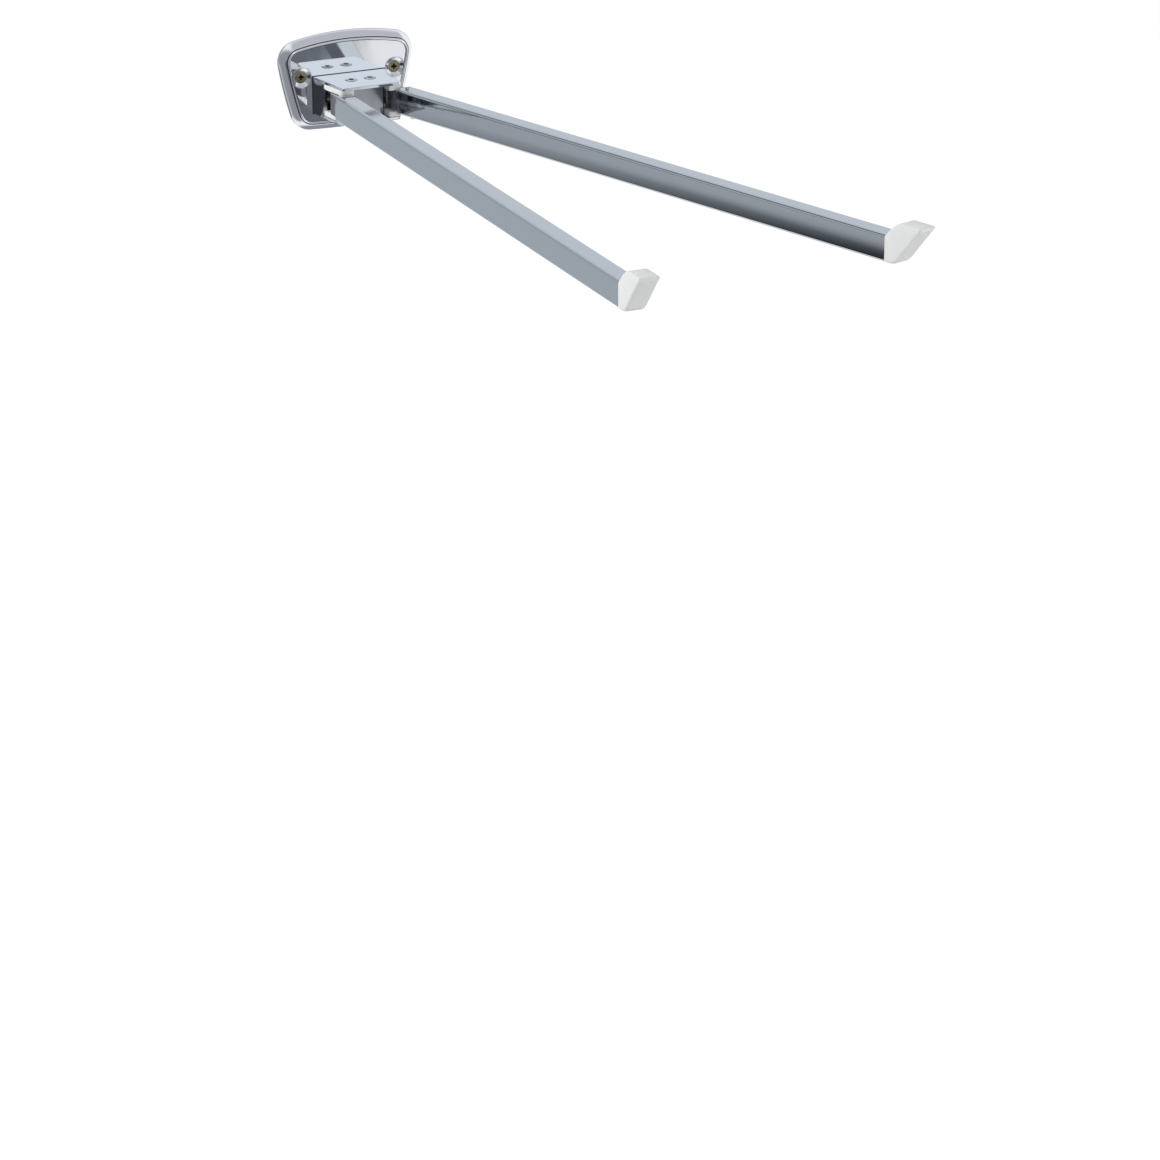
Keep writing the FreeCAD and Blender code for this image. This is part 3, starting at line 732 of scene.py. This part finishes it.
def thread(centre_x):
    """Radius = root + ridge(length / pitch - angle / turn), tapering over the point."""
    length = np.arange(THREAD_START, THREAD_END, THREAD_PITCH / ROWS_PER_PITCH)
    angle = np.linspace(0, 2 * math.pi, THREAD_COLUMNS, endpoint=False)
    phase = (length[:, None] / THREAD_PITCH - angle / (2 * math.pi)) % 1
    ridge = np.clip(1 - np.abs(phase - 0.5) / CREST_HALF_WIDTH, 0, 1)
    run_in = np.clip((length - THREAD_START) / THREAD_PITCH, 0, 1)[:, None]
    to_point = (THREAD_END + POINT_PAST_END - length) / POINT_LENGTH
    taper = np.clip(to_point, POINT_THINNEST, 1)[:, None]
    radius = (THREAD_ROOT + (THREAD_CREST - THREAD_ROOT) * ridge * run_in) * taper
    x = centre_x + radius * np.cos(angle)
    z = SCREW_Z + radius * np.sin(angle)
    return np.stack([x, np.broadcast_to(length[:, None], x.shape), z], axis=-1)


threads = [thread(-SCREW_X), thread(SCREW_X)]
grid_piece("wall_screw_threads", threads, screw_steel, "wall_unit")

# %% [markdown]
# ## Studio
# The background is white because of what the camera and the mirrors see, not because of
# extra light on the object: the world is white for camera, glossy and transmission rays
# and a plain grey for the light that falls on things. Chrome is only as good as what it
# mirrors, so glossy rays also meet soft grey cards, as in a photographer's studio. A card
# is a direction with an inner and an outer angle, between which its grey fades out, and a
# later card covers the earlier ones. Real card objects would also do, but they would
# shade the object and get in the way of the camera in other views.

# %% World
AMBIENT = 0.5
STUDIO_CARDS = (
    ("grey behind left", (-0.51, 0.85, 0.10), 34, 48, "#BCC1C8"),
    ("pale sky behind", (0.41, 0.80, 0.44), 26, 44, "#DFE6EE"),
    ("grey ceiling", (0.35, -0.40, 0.85), 26, 44, "#C3C4CB"),
    ("grey left front", (-0.80, -0.58, 0.05), 34, 62, "#989AA0"),
    ("grey low left", (-0.70, -0.36, -0.62), 16, 34, "#96989E"),
    ("grey below", (0.41, 0.33, -0.85), 20, 40, "#8E939B"),
    ("dim room in front", (0.38, -0.89, -0.25), 24, 46, "#6C6E74"),
    ("pale window high in front", (0.39, -0.88, 0.27), 12, 20, "#F6FBFF"),
    ("white window in front", (0.42, -0.88, -0.235), 5, 9, "#F6F6F8"),
    ("smoky panel in front", (0.2511, -0.9372, -0.2419), 7.7, 8.4, "#666B74"),
    ("dark left front", (-0.591, -0.767, -0.246), 8, 18, "#3E4044"),
    ("half grey left back", (-0.34, 0.87, -0.35), 10, 18, "#C0C8CE"),
    ("dark low left back", (-0.780, 0.380, -0.497), 10, 17, "#18202A"),
    ("dark beam high left", (-0.45, 0.57, 0.69), 5, 10, "#30343C"),
)


def backdrop_rays(tree):
    """1 for the rays that should see the background: camera, glossy or transmission."""
    path = add_node(tree, "ShaderNodeLightPath")
    either = add_node(tree, "ShaderNodeMath", operation="MAXIMUM",
                      links={0: path.outputs["Is Camera Ray"], 1: path.outputs["Is Glossy Ray"]})
    return add_node(tree, "ShaderNodeMath", operation="MAXIMUM", links={
        0: either.outputs[0], 1: path.outputs["Is Transmission Ray"]}).outputs[0]


def backdrop_with_cards(tree):
    """White, mixed with each card's grey by how near a glossy ray is to its direction."""
    mirror_rays = add_node(tree, "ShaderNodeLightPath").outputs["Is Glossy Ray"]
    direction = add_node(tree, "ShaderNodeTexCoord").outputs["Generated"]
    backdrop = add_node(tree, "ShaderNodeRGB").outputs["Color"]
    backdrop.default_value = paint("#FFFFFF")
    for title, towards, inner, outer, grey in STUDIO_CARDS:
        nearness = add_node(tree, "ShaderNodeVectorMath", {1: Vector(towards).normalized()},
                            {0: direction}, operation="DOT_PRODUCT", label=title)
        fade = add_node(tree, "ShaderNodeMapRange", {
            "From Min": math.cos(math.radians(outer)), "From Max": math.cos(math.radians(inner)),
        }, {"Value": nearness.outputs["Value"]}, interpolation_type="SMOOTHSTEP")
        seen = add_node(tree, "ShaderNodeMath", operation="MULTIPLY",
                        links={0: fade.outputs["Result"], 1: mirror_rays})
        card = add_node(tree, "ShaderNodeMix", {COLOUR_B: paint(grey)},
                        {0: seen.outputs[0], COLOUR_A: backdrop}, data_type="RGBA")
        backdrop = card.outputs[COLOUR_OUT]
    return backdrop


world = bpy.data.worlds.new("studio")
bpy.context.scene.world = world
world.use_nodes = True
sky = world.node_tree
sky.nodes.clear()
light = add_node(sky, "ShaderNodeBackground", {"Color": paint("#F4F6FA"), "Strength": AMBIENT})
backdrop = add_node(sky, "ShaderNodeBackground", {"Strength": 1.0},
                    {"Color": backdrop_with_cards(sky)})
either = add_node(sky, "ShaderNodeMixShader", links={
    0: backdrop_rays(sky), 1: light.outputs[0], 2: backdrop.outputs[0]})
add_node(sky, "ShaderNodeOutputWorld", links={"Surface": either.outputs[0]})
print("world with", len(STUDIO_CARDS), "cards")

# %% [markdown]
# ## Floor
# The object hangs on a wall, so the pale floor is far below it. It glows a little for the
# rays that see the background, so that it is as white as the world behind it and the
# horizon doesn't show. Mirrors don't see it, because the cards stand in for it there.

# %% Floor
FLOOR_DROP = 0.9
FLOOR_HALF = 6.0
FLOOR_GLOW = 0.68

corners = [(x * FLOOR_HALF, y * FLOOR_HALF, -FLOOR_DROP)
           for x, y in ((-1, -1), (1, -1), (1, 1), (-1, 1))]
floor_mesh = bpy.data.meshes.new("floor")
floor_mesh.from_pydata(corners, [], [(0, 1, 2, 3)])
floor = bpy.data.objects.new("floor", floor_mesh)
bpy.context.scene.collection.objects.link(floor)
floor.visible_glossy = False
floor_paint, tree, matt = start_material("white_floor", {
    "Base Color": paint("#D2D2D2"), "Roughness": 0.9})
surface = matt.outputs["BSDF"].links[0].to_socket
glow = add_node(tree, "ShaderNodeEmission", {"Color": paint("#FFFFFF"), "Strength": FLOOR_GLOW})
lit = add_node(tree, "ShaderNodeAddShader", links={0: matt.outputs[0], 1: glow.outputs[0]})
blend = add_node(tree, "ShaderNodeMixShader", links={
    0: backdrop_rays(tree), 1: matt.outputs[0], 2: lit.outputs[0]})
tree.links.new(blend.outputs[0], surface)
floor_mesh.materials.append(floor_paint)
print("floor", FLOOR_DROP, "m below the arms")

# %% [markdown]
# ## Lamps
# Softboxes give the plastic and the satin metal their gentle shading. A key stands on the
# left, a fill on the right, a low one in front lights what looks down, and a weak one
# hangs above. They are hidden from mirrors, because the cards already are what the chrome
# shows, and they are weak enough for a colour to render about as it is written.

# %% Softboxes
AIM = Vector((0.01, -0.2, 0.0))
SOFTBOXES = (
    ("key_left", (-2.0, 0.6, 0.8), (1.4, 1.4), 35),
    ("fill_right", (1.9, -1.6, 0.5), (1.6, 1.6), 12),
    ("front_low", (0.7, -2.4, -0.5), (1.6, 1.0), 11),
    ("top", (0.2, -0.3, 2.0), (1.6, 1.6), 3),
)
for name, place, size, power in SOFTBOXES:
    lamp = bpy.data.lights.new(name, "AREA")
    lamp.shape = "RECTANGLE"
    lamp.size, lamp.size_y = size
    lamp.energy = power
    box = bpy.data.objects.new(name, lamp)
    box.location = place
    box.rotation_euler = (AIM - Vector(place)).to_track_quat("-Z", "Y").to_euler()
    box.visible_glossy = False
    bpy.context.scene.collection.objects.link(box)
print("softboxes:", len(SOFTBOXES))

# %% [markdown]
# ## Camera
# The camera stands where the photographer stood: to the left of the wall's normal and
# above the arms, far enough away that the arms hardly converge. Its place, direction and
# lens were solved from the edges of plate and arms.

# %% Camera
CAMERA_PLACE = Vector((-0.94262, -2.19824, 0.61610))
CAMERA_AZIMUTH = math.radians(26.276)
CAMERA_ELEVATION = math.radians(20.694)
SENSOR_WIDTH = 36.0
LENS = 139.66

camera_data = bpy.data.cameras.new("camera")
camera_data.sensor_width = SENSOR_WIDTH
camera_data.lens = LENS
camera_data.clip_end = 50.0
camera = bpy.data.objects.new("camera", camera_data)
camera.location = CAMERA_PLACE
camera.rotation_euler = (math.pi / 2 - CAMERA_ELEVATION, 0, -CAMERA_AZIMUTH)
bpy.context.scene.collection.objects.link(camera)
bpy.context.scene.camera = camera
bpy.context.scene.view_settings.view_transform = "Standard"
print("camera", round(CAMERA_PLACE.length, 2), "m from the plate, lens", LENS)
